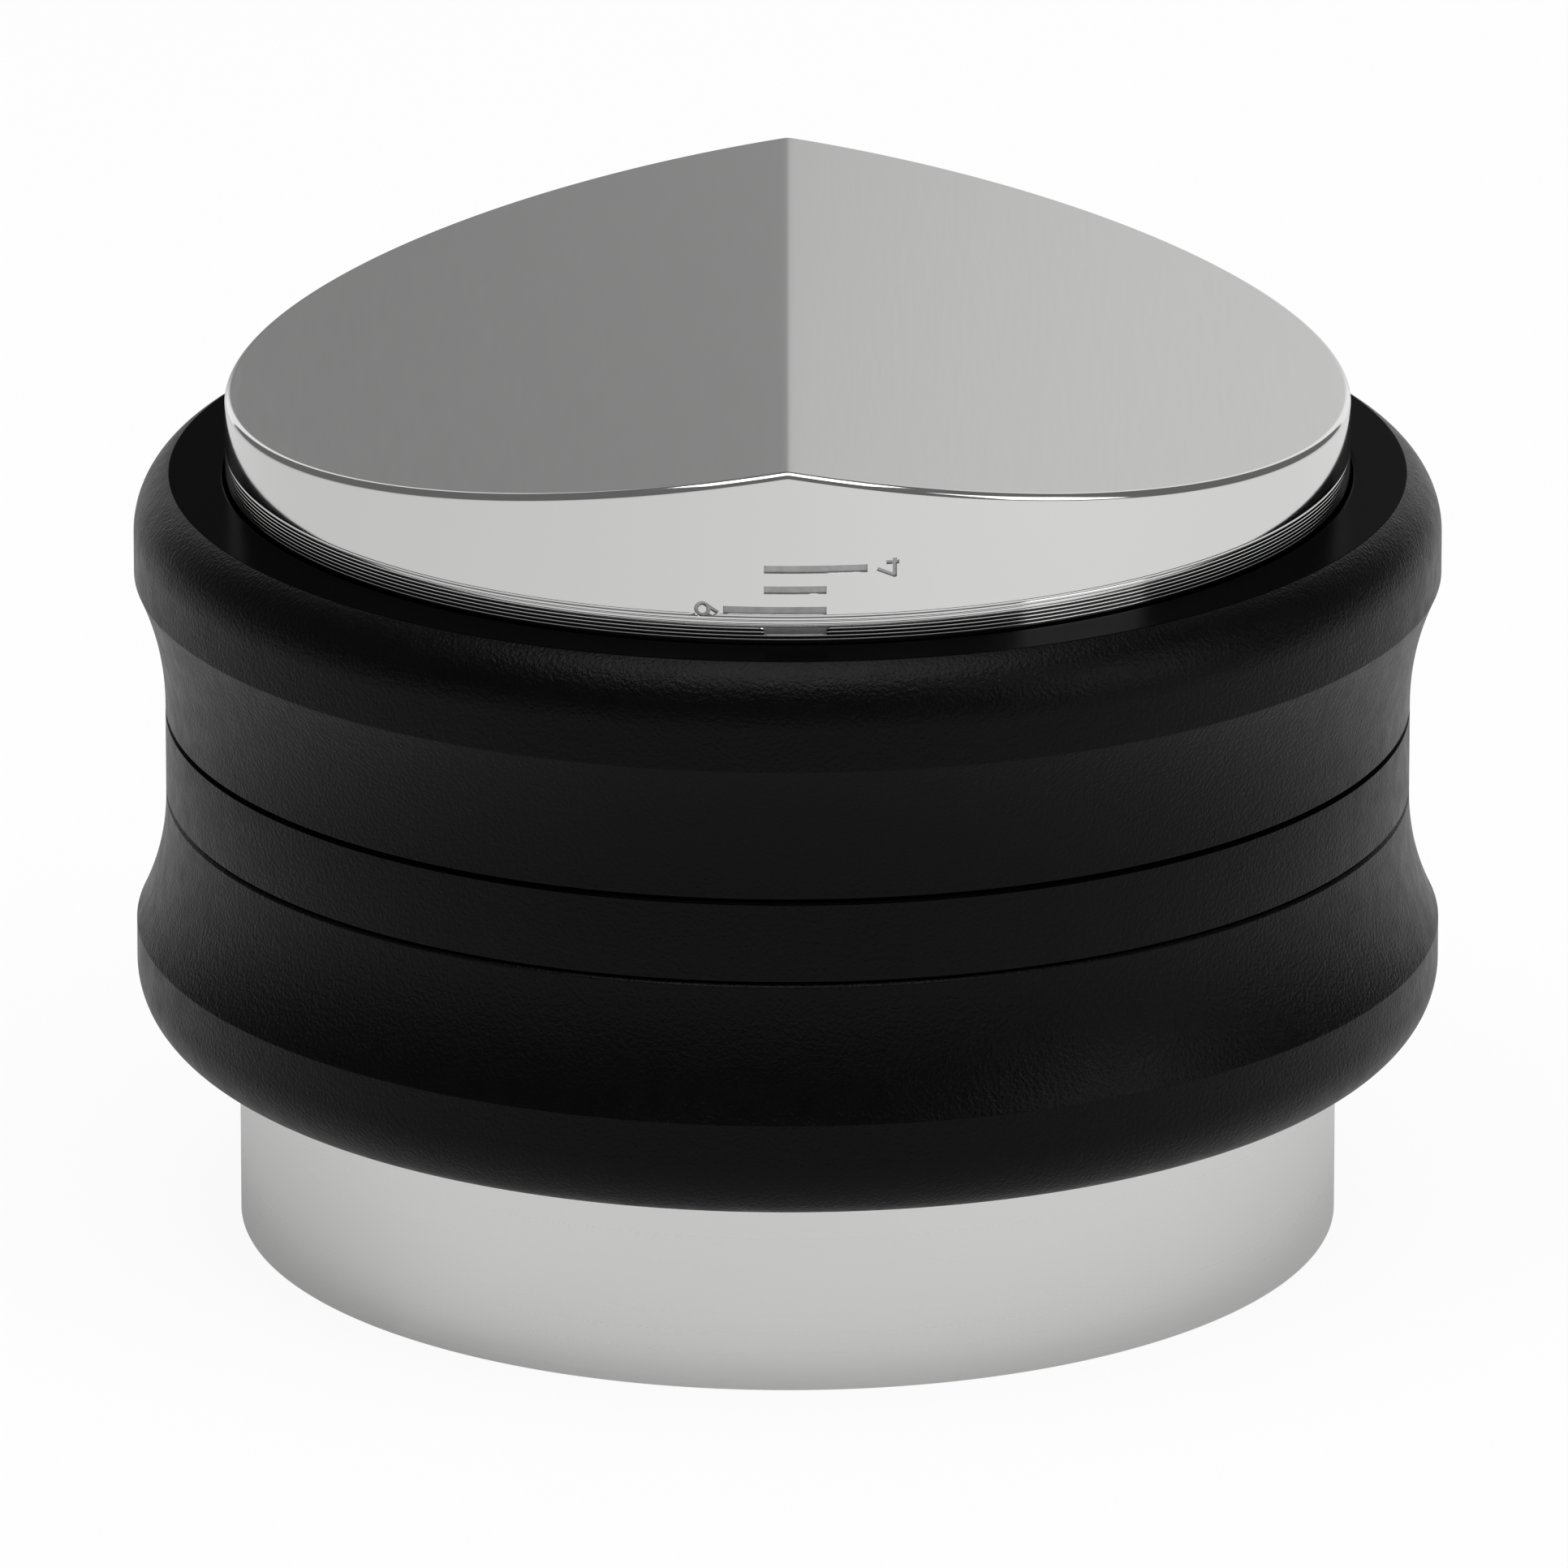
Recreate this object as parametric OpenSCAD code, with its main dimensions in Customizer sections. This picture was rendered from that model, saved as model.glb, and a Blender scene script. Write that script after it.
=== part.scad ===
// Dual-head espresso tool. A gable-faced distributor head stands out of the top of
// a waisted palm grip and a flat tamping head out of the bottom.
// Both heads screw on one threaded hub, and each grip screws along its head until it
// jams on the centre ring and locks the depth.
// Origin: centre of the tamping face. +Z is up, the gable's ridge runs along Y and
// the depth scale faces -Y. Millimetres.

/* [Heads] */
// Diameter of the distributor head
distributor_d = 53.3; // [48:0.1:64]
// Diameter of the tamping head
tamper_d = 52.3; // [48:0.1:63]
// Height of the gable's ridge above the low sides of its rim
gable_rise = 4.45; // [1:0.05:6]
// Ridge above the lip of the distributor grip
ridge_reach = 8.3; // [7.5:0.1:12]
// Tamping face below the lip of the tamper grip
tamper_reach = 10; // [6:0.1:14]
// Edge break around the tamping face
face_break = 0.15; // [0.05:0.05:0.5]
// Height of the relief between the tamping head's plain wall and its thread
relief_h = 0.8; // [0.6:0.1:1.2]
// Depth of that relief
relief_d = 0.4; // [0.3:0.05:0.6]

/* [Grips] */
// Height of the distributor grip
distributor_grip_h = 11.65; // [10:0.05:14]
// Height of the tamper grip
tamper_grip_h = 11.3; // [10:0.05:14]
// Wall of a grip at the waist, measured from the wider head's bore
grip_wall = 2.82; // [2.2:0.02:4]
// How far a grip's rim stands out past the waist
rim_out = 1.44; // [0.8:0.02:3]
// Width of the rounded shoulder between rim and lip
shoulder_w = 1.7; // [1:0.1:2.1]
// Height of the rounded shoulder
shoulder_h = 2.9; // [2.2:0.1:3.5]
// Height of the straight band below the shoulder
band_h = 1.95; // [1:0.05:3]
// Straight foot of a grip between the seam and the cove
cove_foot = 0.2; // [0.2:0.05:1]

/* [Centre ring] */
// Height of the centre ring between the two seams
ring_h = 4.05; // [3.4:0.05:6]
// Thickness of the web that carries the hub
web_t = 2.5; // [1.5:0.1:3]
// Height of the register that centres a grip
register_h = 0.75; // [0.5:0.05:1]
// Wall of the register
register_w = 0.7; // [0.5:0.05:0.9]
// Chamfer on both edges of each seam
seam_break = 0.15; // [0.05:0.05:0.3]

/* [Threads and travel] */
// Thread diameter of the hub
hub_d = 36; // [30:0.5:44]
// Radius of the hub's flange in the web beyond its thread
flange_w = 4; // [2:0.5:5]
// Length of each threaded spigot
spigot_h = 7.4; // [6:0.1:9]
// Pitch of the hub thread and of both head threads
pitch = 0.5; // [0.4:0.05:1]
// Depth of the threads
thread_depth = 0.2; // [0.1:0.05:0.3]
// How far a head screws in from the depth it is stored at
travel_in = 3.8; // [2:0.1:3.8]
// How far the distributor head's thread shows above the lip
thread_show = 1.4; // [1:0.1:2]
// Length of the thread inside a grip
grip_thread = 4; // [2:0.5:4]

/* [Drag rings] */
// Cord thickness of the rubber drag rings
drag_c = 1.5; // [1:0.1:1.8]
// Centre of a drag ring from the inner end of its head
drag_inset = 1.3; // [1.3:0.1:1.6]

/* [Depth scale] */
// First depth on the scale
scale_first = 4; // [3:1:5]
// Last depth on the scale
scale_last = 8; // [7:1:8]
// Zero of the scale below the ridge
scale_zero = 0.7; // [0.4:0.1:1]
// Height of a scale bar
bar_h = 0.38; // [0.2:0.02:0.5]
// Length of a plain bar
bar_w = 2.9; // [2:0.1:4]
// Extra length of a numbered bar
bar_more = 1.9; // [1:0.1:3]
// Depth of the engraving
engrave = 0.22; // [0.22:0.01:0.4]

/* [Fits] */
// Radial clearance of a head in its grip
head_gap = 0.1; // [0.05:0.01:0.2]
// Radial clearance of a head's bore on the hub
hub_gap = 0.08; // [0.05:0.01:0.1]
// Radial clearance of a grip on the ring's register
register_gap = 0.05; // [0.03:0.01:0.1]
// Clearance around a drag ring
drag_gap = 0.02; // [0.01:0.01:0.05]
// Least end gap when a head is screwed right in
end_gap = 0.3; // [0.2:0.05:0.5]

/* [Hidden] */
$fn = 128;
sliver = 0.01;

// Heights, from the tamping face up
lower_seam_z = tamper_reach + tamper_grip_h;
upper_seam_z = lower_seam_z + ring_h;
upper_lip_z = upper_seam_z + distributor_grip_h;
ridge_z = upper_lip_z + ridge_reach;
web_z = lower_seam_z + (ring_h - web_t) / 2;

// Gap between the web and a head's inner end, at the depth it is stored at
inner_end = travel_in + end_gap;

// Radii
distributor_r = distributor_d / 2;
tamper_r = tamper_d / 2;
wide_r = max(distributor_r, tamper_r) + head_gap;
waist_r = wide_r + grip_wall;
rim_r = waist_r + rim_out;
register_r = wide_r + head_gap;
hub_r = hub_d / 2;
flange_r = hub_r + flange_w;
shoulder_r = (pow(shoulder_h, 2) + pow(shoulder_w, 2)) / (2 * shoulder_w);

// Thread form: flat crests between grooves with a narrow flat root
groove_half = 0.4 * pitch;
root_half = 0.06 * pitch;
counterbore_h = register_h + 0.1;
lip_break = 0.2;
hub_break = 0.5;
clear_end = 0.8;

// Drag ring of a head of radius r: side room in its groove, centre line and groove floor
drag_groove = 0.15;
function drag_ring_r(r) = r + head_gap - drag_gap - drag_c / 2;
function drag_seat_r(r) = drag_ring_r(r) - drag_c / 2 - drag_gap;

// Scale numerals
digit_w = 1.2;
digit_gap = 0.25;
stroke = 0.24;
digit_r = 0.38;

// Grooves of a thread drawn as plain rings on radius r from z0 to z1.
// side is 1 for a bore, cut outward, and -1 for a shaft, cut inward.
module thread_grooves(r, z0, z1, side) {
    for (z = [z0 + groove_half : pitch : z1 - groove_half])
        polygon([
            [r - side * sliver, z - groove_half],
            [r + side * thread_depth, z - root_half],
            [r + side * thread_depth, z + root_half],
            [r - side * sliver, z + groove_half]
        ]);
}

// Corner cut of size c at (r, z); in is -1 or 1 along r, up is -1 or 1 along z
module corner(r, z, c, in, up) {
    polygon([
        [r - in * sliver, z - up * sliver],
        [r + in * (c + sliver), z - up * sliver],
        [r - in * sliver, z + up * (c + sliver)]
    ]);
}

// Half section of a grip of height h on bore b, from the seam at 0 to the lip at h
module grip_section(h, b) {
    shoulder_z = h - shoulder_h;
    crease_z = shoulder_z - band_h;
    cove_r = (pow(crease_z - cove_foot, 2) + pow(rim_out, 2)) / (2 * rim_out);
    difference() {
        intersection() {
            translate([b, 0])
                square([rim_r - b, h]);
            union() {
                translate([rim_r - shoulder_r, shoulder_z])
                    circle(r = shoulder_r);
                square([rim_r - shoulder_r, h]);
                square([rim_r, shoulder_z]);
            }
        }
        translate([waist_r + cove_r, cove_foot])
            circle(r = cove_r);
        translate([waist_r, -sliver])
            square([cove_r, cove_foot + sliver]);
        translate([b - sliver, -sliver])
            square([register_r + register_w + register_gap - b + sliver, counterbore_h + sliver]);
        corner(waist_r, 0, seam_break, -1, 1);
        corner(b, h, lip_break, 1, -1);
        thread_grooves(b, h - clear_end - grip_thread, h - clear_end, 1);
    }
}

// Half section of a head of radius r, from its inner end at 0 to its working face at h.
// The outside thread runs from the drag ring to thread_end; bore is the bore's depth.
module head_section(r, h, bore, thread_end) {
    difference() {
        square([r, h]);
        translate([0, -sliver])
            square([hub_r + hub_gap, bore + sliver]);
        translate([drag_seat_r(r), drag_inset - drag_c / 2 - drag_groove])
            square([r, drag_c + 2 * drag_groove]);
        thread_grooves(r, drag_inset + drag_c, thread_end, -1);
        thread_grooves(hub_r + hub_gap, pitch, spigot_h, 1);
    }
}

module drag_ring(r, z) {
    color([0.05, 0.05, 0.05])
        rotate_extrude()
            translate([drag_ring_r(r), z])
                circle(r = drag_c / 2);
}

// Numerals, centred, upright in X and Y
module numeral(n) {
    if (n == 4) {
        translate([-0.45, -0.2])
            square([0.95, stroke]);
        translate([0.1, -0.55])
            square([stroke, 0.75]);
        rotate(70)
            translate([-0.1, 0.05])
                square([0.75, stroke]);
    }
    if (n == 6 || n == 8)
        translate([0, -0.2])
            difference() {
                circle(r = digit_r);
                circle(r = digit_r - stroke);
            }
    if (n == 8)
        translate([0, 0.32])
            difference() {
                circle(r = digit_r - 0.06);
                circle(r = digit_r - 0.06 - stroke);
            }
    if (n == 6)
        translate([-digit_r, -0.2])
            rotate(-20)
                square([stroke, 0.85]);
}

// Bars of the depth scale and their numerals in X and Z, drawn flat.
// Every second bar is long and numbered, in turn on the right and on the left.
module scale_marks() {
    bar_x = -0.38 * bar_w;
    for (n = [scale_first : scale_last]) {
        right = n % 4 == 0 ? bar_more : 0;
        left = n % 4 == 2 ? bar_more : 0;
        translate([bar_x - left, ridge_z - scale_zero - n - bar_h / 2])
            square([bar_w + left + right, bar_h]);
        if (right > 0)
            translate([bar_x + bar_w + right + digit_gap + digit_w / 2, ridge_z - scale_zero - n])
                rotate(90)
                    numeral(n);
        if (left > 0)
            translate([bar_x - left - digit_gap - digit_w / 2, ridge_z - scale_zero - n])
                rotate(-90)
                    numeral(n);
    }
}

module center_ring() {
    color([0.07, 0.07, 0.07])
        rotate_extrude()
            difference() {
                union() {
                    translate([register_r, lower_seam_z])
                        square([waist_r - register_r, ring_h]);
                    translate([flange_r, web_z])
                        square([register_r - flange_r + sliver, web_t]);
                    translate([register_r, lower_seam_z - register_h])
                        square([register_w, ring_h + 2 * register_h]);
                }
                corner(waist_r, lower_seam_z, seam_break, -1, 1);
                corner(waist_r, upper_seam_z, seam_break, -1, -1);
            }
}

module threaded_hub() {
    low = web_z - spigot_h;
    high = web_z + web_t + spigot_h;
    color([0.7, 0.7, 0.72])
        rotate_extrude()
            difference() {
                union() {
                    translate([0, low])
                        square([hub_r, high - low]);
                    translate([0, web_z])
                        square([flange_r, web_t]);
                }
                corner(hub_r, low, hub_break, -1, 1);
                corner(hub_r, high, hub_break, -1, -1);
                thread_grooves(hub_r, low + hub_break, web_z - pitch, -1);
                thread_grooves(hub_r, web_z + web_t + pitch, high - hub_break, -1);
            }
}

module distributor_grip() {
    color([0.06, 0.06, 0.06])
        translate([0, 0, upper_seam_z])
            rotate_extrude()
                grip_section(distributor_grip_h, distributor_r + head_gap);
}

module tamper_grip() {
    color([0.06, 0.06, 0.06])
        translate([0, 0, lower_seam_z])
            mirror([0, 0, 1])
                rotate_extrude()
                    grip_section(tamper_grip_h, tamper_r + head_gap);
}

module distributor_head() {
    end_z = web_z + web_t + inner_end;
    color([0.72, 0.72, 0.72])
        difference() {
            intersection() {
                translate([0, 0, end_z])
                    rotate_extrude()
                        head_section(distributor_r, ridge_z - end_z, spigot_h + end_gap,
                            upper_lip_z + thread_show - end_z);
                rotate([90, 0, 0])
                    linear_extrude(2 * distributor_d, center = true)
                        polygon([
                            [-distributor_d, 0],
                            [distributor_d, 0],
                            [distributor_d, ridge_z - 2 * gable_rise],
                            [0, ridge_z],
                            [-distributor_d, ridge_z - 2 * gable_rise]
                        ]);
            }
            intersection() {
                translate([0, -distributor_r / 2, 0])
                    rotate([90, 0, 0])
                        linear_extrude(distributor_r)
                            scale_marks();
                difference() {
                    cylinder(r = distributor_r + 1, h = ridge_z);
                    translate([0, 0, -1])
                        cylinder(r = distributor_r - engrave, h = ridge_z + 2);
                }
            }
        }
}

module tamper_head() {
    end_z = web_z - inner_end;
    wall_end = end_z - tamper_reach - sliver;
    color([0.7, 0.7, 0.7])
        translate([0, 0, end_z])
            mirror([0, 0, 1])
                rotate_extrude()
                    difference() {
                        head_section(tamper_r, end_z, spigot_h + end_gap, wall_end - relief_h);
                        corner(tamper_r, end_z, face_break, -1, -1);
                        translate([tamper_r - relief_d, wall_end - relief_h])
                            square([1, relief_h]);
                    }
}

module distributor_drag_ring() {
    drag_ring(distributor_r, web_z + web_t + inner_end + drag_inset);
}

module tamper_drag_ring() {
    drag_ring(tamper_r, web_z - inner_end - drag_inset);
}

center_ring();
threaded_hub();
distributor_grip();
tamper_grip();
distributor_head();
tamper_head();
distributor_drag_ring();
tamper_drag_ring();
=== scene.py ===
import math

import bmesh
import bpy
from bpy.props import FloatProperty, FloatVectorProperty, IntProperty, PointerProperty
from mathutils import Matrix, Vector


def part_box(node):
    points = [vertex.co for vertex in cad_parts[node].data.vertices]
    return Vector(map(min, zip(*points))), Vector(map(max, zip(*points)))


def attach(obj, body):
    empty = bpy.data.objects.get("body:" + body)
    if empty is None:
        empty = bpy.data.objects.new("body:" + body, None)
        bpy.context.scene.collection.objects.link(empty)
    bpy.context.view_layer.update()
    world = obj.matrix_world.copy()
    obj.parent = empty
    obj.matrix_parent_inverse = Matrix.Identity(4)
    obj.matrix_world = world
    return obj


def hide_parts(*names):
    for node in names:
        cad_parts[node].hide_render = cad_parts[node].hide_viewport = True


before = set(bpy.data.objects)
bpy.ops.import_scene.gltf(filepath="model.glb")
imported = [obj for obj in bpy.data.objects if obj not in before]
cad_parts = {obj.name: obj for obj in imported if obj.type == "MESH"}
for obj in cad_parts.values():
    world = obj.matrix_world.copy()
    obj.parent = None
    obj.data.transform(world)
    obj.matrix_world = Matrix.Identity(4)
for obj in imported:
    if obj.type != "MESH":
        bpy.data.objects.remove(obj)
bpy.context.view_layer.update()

bl_info = {
    "name": "Dual-head espresso tool",
    "version": (1, 0, 0),
    "blender": (4, 5, 0),
    "location": "View3D > Sidebar > Espresso tool",
    "description": "Finished pieces of a dual-head coffee distributor and tamper, on its CAD frame",
    "category": "Object",
}

MM = 0.001
SEGMENTS = 480
SHARP = math.radians(28)

# Heights and radii that the frame gives, in metres
RING_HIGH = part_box("center_ring")[1]
UPPER_LOW, UPPER_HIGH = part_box("distributor_grip")
LOWER_LOW, LOWER_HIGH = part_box("tamper_grip")
GABLE_LOW, GABLE_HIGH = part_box("distributor_head")
TAMP_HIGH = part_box("tamper_head")[1]
HUB_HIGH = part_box("threaded_hub")[1]
UPPER_DRAG_LOW, UPPER_DRAG_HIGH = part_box("distributor_drag_ring")
LOWER_DRAG_LOW, LOWER_DRAG_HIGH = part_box("tamper_drag_ring")
UPPER_SEAM = UPPER_LOW.z
UPPER_LIP = UPPER_HIGH.z
LOWER_SEAM = LOWER_HIGH.z
LOWER_LIP = LOWER_LOW.z
RIDGE = GABLE_HIGH.z
CUTTER_OUT = 0.4 * MM
DRAG_STEPS = 48
DRAG_FLASH = 0.02 * MM
RIM_START = 1.2
RIM_STEPS = 8
NEAR_RIDGE = (0.002, 0.004, 0.006, 0.009, 0.014)

# Greys across the stage's mirrored floor, and across the card that the gable mirrors
FLOOR_GLOW = (0.50, 0.56, 0.62, 0.78, 0.86)
FLOOR_REACH = 160 * MM
CARD_GLOW = (1.5, 1.5, 0.18, 0.26, 0.36, 0.78, 0.60, 1.5, 1.5)

# Material finishes, by the index that an outline's point gives
BLASTED, MACHINED = 0, 1
POLISHED, SATIN, ETCHED = 0, 1, 2
TURNED, FACED = 0, 1


def length(name, description, value):
    """A size in millimetres as a length property in metres."""
    return FloatProperty(
        name=name, description=description, default=value * MM, soft_min=0.0, soft_max=0.1,
        precision=5, subtype="DISTANCE", unit="LENGTH",
    )


def colour(name, description, value):
    return FloatVectorProperty(
        name=name, description=description, default=value, size=3, min=0.0, max=1.0, subtype="COLOR",
    )


def share(name, description, value, top=1.0):
    return FloatProperty(name=name, description=description, default=value, min=0.0, max=top)


class GripSizes(bpy.types.PropertyGroup):
    """Sizes of the two grips and of the ring between them"""

    rim_out: length("Rim stand-out", "How far a grip's rim stands out past the waist", 1.44)
    shoulder_w: length("Shoulder width", "Width of the rounded shoulder between rim and lip", 1.7)
    shoulder_h: length("Shoulder height", "Height of the rounded shoulder", 2.9)
    band_h: length("Band height", "Height of the straight band below the shoulder", 1.95)
    cove_foot: length("Cove foot", "Straight foot between the seam and the cove", 0.2)
    seam_break: length("Seam chamfer", "Chamfer on both edges of each seam", 0.15)
    lip_round: length("Lip rounding", "Rounding of the bore's mouth", 0.2)
    edge_round: length("Edge rounding", "Softening of the edges of lip and band", 0.12)
    register_h: length("Register height", "Height of the register that centres a grip", 0.75)
    register_w: length("Register wall", "Wall of the register", 0.7)
    seam_gap: length("Seam gap", "Air between a grip's foot and the ring", 0.01)
    web_t: length("Web thickness", "Thickness of the web that carries the hub", 2.5)
    register_fit: length("Register clearance", "Radial clearance of a grip on the register", 0.05)
    fit: length("Head clearance", "Radial clearance of a head in its grip", 0.1)
    thread: length("Grip thread", "Length of the thread inside a grip", 4.0)


class HeadSizes(bpy.types.PropertyGroup):
    """Sizes of the two heads, their threads and the depth scale"""

    gable_rise: length("Gable rise", "Ridge above the low sides of the rim", 4.45)
    rim_round: length("Rim rounding", "Rounding between side wall and gable", 0.34)
    ridge_round: length("Ridge rounding", "Radius that softens the ridge", 0.12)
    face_round: length("Face rounding", "Rounding around the tamping face", 0.15)
    pitch: length("Thread pitch", "Pitch of the threads", 0.5)
    depth: length("Thread depth", "Depth of the threads", 0.2)
    thread_show: length("Thread above lip", "How far the upper thread shows above the lip", 1.4)
    crest_lines: length("Crest lines", "Spacing of the fine lines on the thread that shows", 0.175)
    crest_depth: length("Crest line depth", "Depth of the fine lines", 0.035)
    relief_h: length("Relief height", "Height of the tamping head's thread relief", 0.8)
    relief_d: length("Relief depth", "Depth of the tamping head's thread relief", 0.4)
    bore: length("Hub bore", "Radius of the bore that screws on the hub", 18.08)
    bore_depth: length("Bore depth", "Depth of the bore from the head's inner end", 7.7)
    drag_cord: length("Drag ring cord", "Thickness of a rubber drag ring", 1.5)
    scale_zero: length("Scale zero", "Zero of the depth scale below the ridge", 0.7)
    bar_h: length("Bar height", "Height of a scale bar", 0.38)
    bar_w: length("Bar length", "Length of a plain scale bar", 2.9)
    bar_more: length("Extra length", "Extra length of a numbered bar", 1.9)
    engrave: length("Engraving depth", "Depth of the engraved marks", 0.12)
    stroke: length("Numeral stroke", "Width of a numeral's stroke", 0.19)
    first: IntProperty(name="First depth", description="First depth on the scale", default=4, min=3, max=5)
    last: IntProperty(name="Last depth", description="Last depth on the scale", default=8, min=7, max=8)


class Finishes(bpy.types.PropertyGroup):
    """Colours and roughness of the finishes"""

    black: colour("Black anodising", "Colour of the blasted grips and ring", (0.0008, 0.0008, 0.0009))
    steel: colour("Steel", "Colour of the stainless heads", (0.72, 0.72, 0.715))
    etched: colour("Etched marks", "Colour of the engraved marks' floors", (0.42, 0.42, 0.42))
    aluminium: colour("Aluminium", "Colour of the bare hub", (0.70, 0.70, 0.71))
    rubber: colour("Rubber", "Colour of the drag rings", (0.02, 0.02, 0.02))
    blasted_rough: share("Blasted roughness", "Roughness of the blasted black", 0.33)
    polished_rough: share("Polished roughness", "Roughness of the polished wall", 0.07)
    satin_rough: share("Satin roughness", "Roughness of the satin steel", 0.24)


class StageSettings(bpy.types.PropertyGroup):
    """Floor, light and camera"""

    floor: colour("Floor", "Colour of the floor", (0.83, 0.83, 0.83))
    elevation: FloatProperty(
        name="Elevation", description="Height of the camera above the horizon",
        default=math.radians(18.57), subtype="ANGLE", unit="ROTATION",
    )
    distance: length("Distance", "Camera to the point that it looks at", 1112)
    lens: share("Lens", "Focal length in millimetres on a 36 mm sensor", 536.4, 2000)
    aim_x: length("Aim across", "Point that the camera looks at, along X", -0.174)
    aim_z: length("Aim height", "Point that the camera looks at, above the floor", 21.2)
    top_light: share("Top softbox", "Power of the softbox above the front, in watts", 3.0, 50)
    side_light: share("Right softbox", "Power of the softbox on the right, in watts", 1.2, 50)
    fill: share("Fill", "Light of the surroundings on matt surfaces", 0.6, 5)
    mirror_fill: share("Mirrored fill", "Surroundings that polished metal mirrors", 0.2, 5)
    floor_white: share("Floor white", "Share of plain white in the floor that is seen", 0.93)
    floor_mirror: share("Floor in mirrors", "Share of plain glow in the floor that metal mirrors", 0.3)
    card_reach: length("Rear card", "Half the width of the card behind the object", 200)


# ---------------------------------------------------------------- outlines


def soften(outline, steps=5):
    """Turns each corner (r, z, round, finish) with a round into an arc; gives (r, z, finish)."""
    points = []
    count = len(outline)
    for i, (r, z, radius, finish) in enumerate(outline):
        here = Vector((r, z))
        back = Vector(outline[i - 1][:2]) - here
        on = Vector(outline[(i + 1) % count][:2]) - here
        if radius <= 0 or back.length == 0 or on.length == 0:
            points.append((r, z, finish))
            continue
        half = back.angle(on) / 2
        reach = min(radius / math.tan(half), 0.49 * back.length, 0.49 * on.length)
        radius = reach * math.tan(half)
        centre = here + (back.normalized() + on.normalized()).normalized() * radius / math.sin(half)
        start = here + back.normalized() * reach - centre
        end = here + on.normalized() * reach - centre
        first = math.atan2(start.y, start.x)
        sweep = (math.atan2(end.y, end.x) - first + math.pi) % (2 * math.pi) - math.pi
        for k in range(steps + 1):
            angle = first + sweep * k / steps
            points.append((centre.x + radius * math.cos(angle), centre.y + radius * math.sin(angle), finish))
    return points


def arc(centre_r, centre_z, radius, start, end, steps, finish):
    """Points of an arc between two angles in degrees, as an outline's corners with no round."""
    points = []
    for k in range(steps + 1):
        angle = math.radians(start + (end - start) * k / steps)
        points.append((centre_r + radius * math.cos(angle), centre_z + radius * math.sin(angle), 0, finish))
    return points


def thread(radius, start, end, side, sizes, finish):
    """Ring grooves from height start to end; side is 1 into a bore's wall and -1 into a shaft."""
    up = 1 if end > start else -1
    crest, root = 0.4 * sizes.pitch, 0.06 * sizes.pitch
    turns = int((abs(end - start) - 2 * crest) / sizes.pitch + 1.001)
    points = []
    for i in range(turns):
        middle = start + up * (crest + i * sizes.pitch)
        points.append((radius, middle - up * crest, 0, finish))
        points.append((radius + side * sizes.depth, middle - up * root, 0, finish))
        points.append((radius + side * sizes.depth, middle + up * root, 0, finish))
        points.append((radius, middle + up * crest, 0, finish))
    return points


def crest_lines(radius, start, end, sizes, finish):
    """Fine grooves between flats on a shaft from height start to end, where its thread shows."""
    step = sizes.crest_lines
    points = []
    for i in range(int((end - start) / step)):
        low = start + i * step
        points.append((radius, low, 0, finish))
        points.append((radius, low + 0.5 * step, 0, finish))
        points.append((radius - sizes.crest_depth, low + 0.75 * step, 0, finish))
    return points + [(radius, end, 0, finish)]


def grip_outline(height, bore, counterbore, waist, sizes, heads):
    """Section of a grip, from its seam at 0 to its lip at height, run round anticlockwise."""
    rim = waist + sizes.rim_out
    shoulder_z = height - sizes.shoulder_h
    crease_z = shoulder_z - sizes.band_h
    bend = (sizes.shoulder_h ** 2 + sizes.shoulder_w ** 2) / (2 * sizes.shoulder_w)
    cove = ((crease_z - sizes.cove_foot) ** 2 + sizes.rim_out ** 2) / (2 * sizes.rim_out)
    cove_top = math.degrees(math.asin((crease_z - sizes.cove_foot) / cove))
    bend_top = math.degrees(math.asin(sizes.shoulder_h / bend))
    outline = [
        (counterbore, sizes.seam_gap, 0, MACHINED),
        (waist - sizes.seam_break, sizes.seam_gap, 0.2 * sizes.seam_break, MACHINED),
        (waist, sizes.seam_break, 0.4 * sizes.seam_break, BLASTED),
    ]
    outline += arc(waist + cove, sizes.cove_foot, cove, 180, 180 - cove_top, 40, BLASTED)[:-1]
    outline.append((rim, crease_z, sizes.edge_round, BLASTED))
    outline += arc(rim - bend, shoulder_z, bend, 0, bend_top, 28, BLASTED)[:-1]
    outline += [
        (rim - sizes.shoulder_w, height, sizes.edge_round, MACHINED),
        (bore, height, sizes.lip_round, MACHINED),
    ]
    outline += thread(bore, height - 0.8 * MM, height - 0.8 * MM - sizes.thread, 1, heads, MACHINED)
    outline += [
        (bore, sizes.register_h + 0.1 * MM, 0, MACHINED),
        (counterbore, sizes.register_h + 0.1 * MM, 0, MACHINED),
    ]
    return soften(outline)


# ---------------------------------------------------------------- meshes


def round_angles(count, extra=()):
    """Angles of a full turn in radians, evenly spaced, with extra ones worked in."""
    angles = {round(2 * math.pi * i / count, 6) for i in range(count)}
    angles |= {round(a % (2 * math.pi), 6) for a in extra}
    return sorted(angles)


def revolve(mesh_name, outline, angles):
    """A closed outline of (r, z, finish) turned about Z. A point with r = 0 becomes one pole vertex."""
    bm = bmesh.new()
    rings = []
    for r, z, _ in outline:
        if r <= 1e-9:
            rings.append([bm.verts.new((0, 0, z))])
        else:
            rings.append([bm.verts.new((r * math.cos(a), r * math.sin(a), z)) for a in angles])
    count = len(angles)
    for i, ring in enumerate(rings):
        following = rings[(i + 1) % len(rings)]
        if len(ring) == 1 and len(following) == 1:
            continue
        for k in range(count):
            n = (k + 1) % count
            near = [ring[k % len(ring)], ring[n % len(ring)]]
            far = [following[n % len(following)], following[k % len(following)]]
            face = bm.faces.new(list(dict.fromkeys(near + far)))
            face.material_index = outline[i][2]
    return to_mesh(mesh_name, bm)


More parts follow.
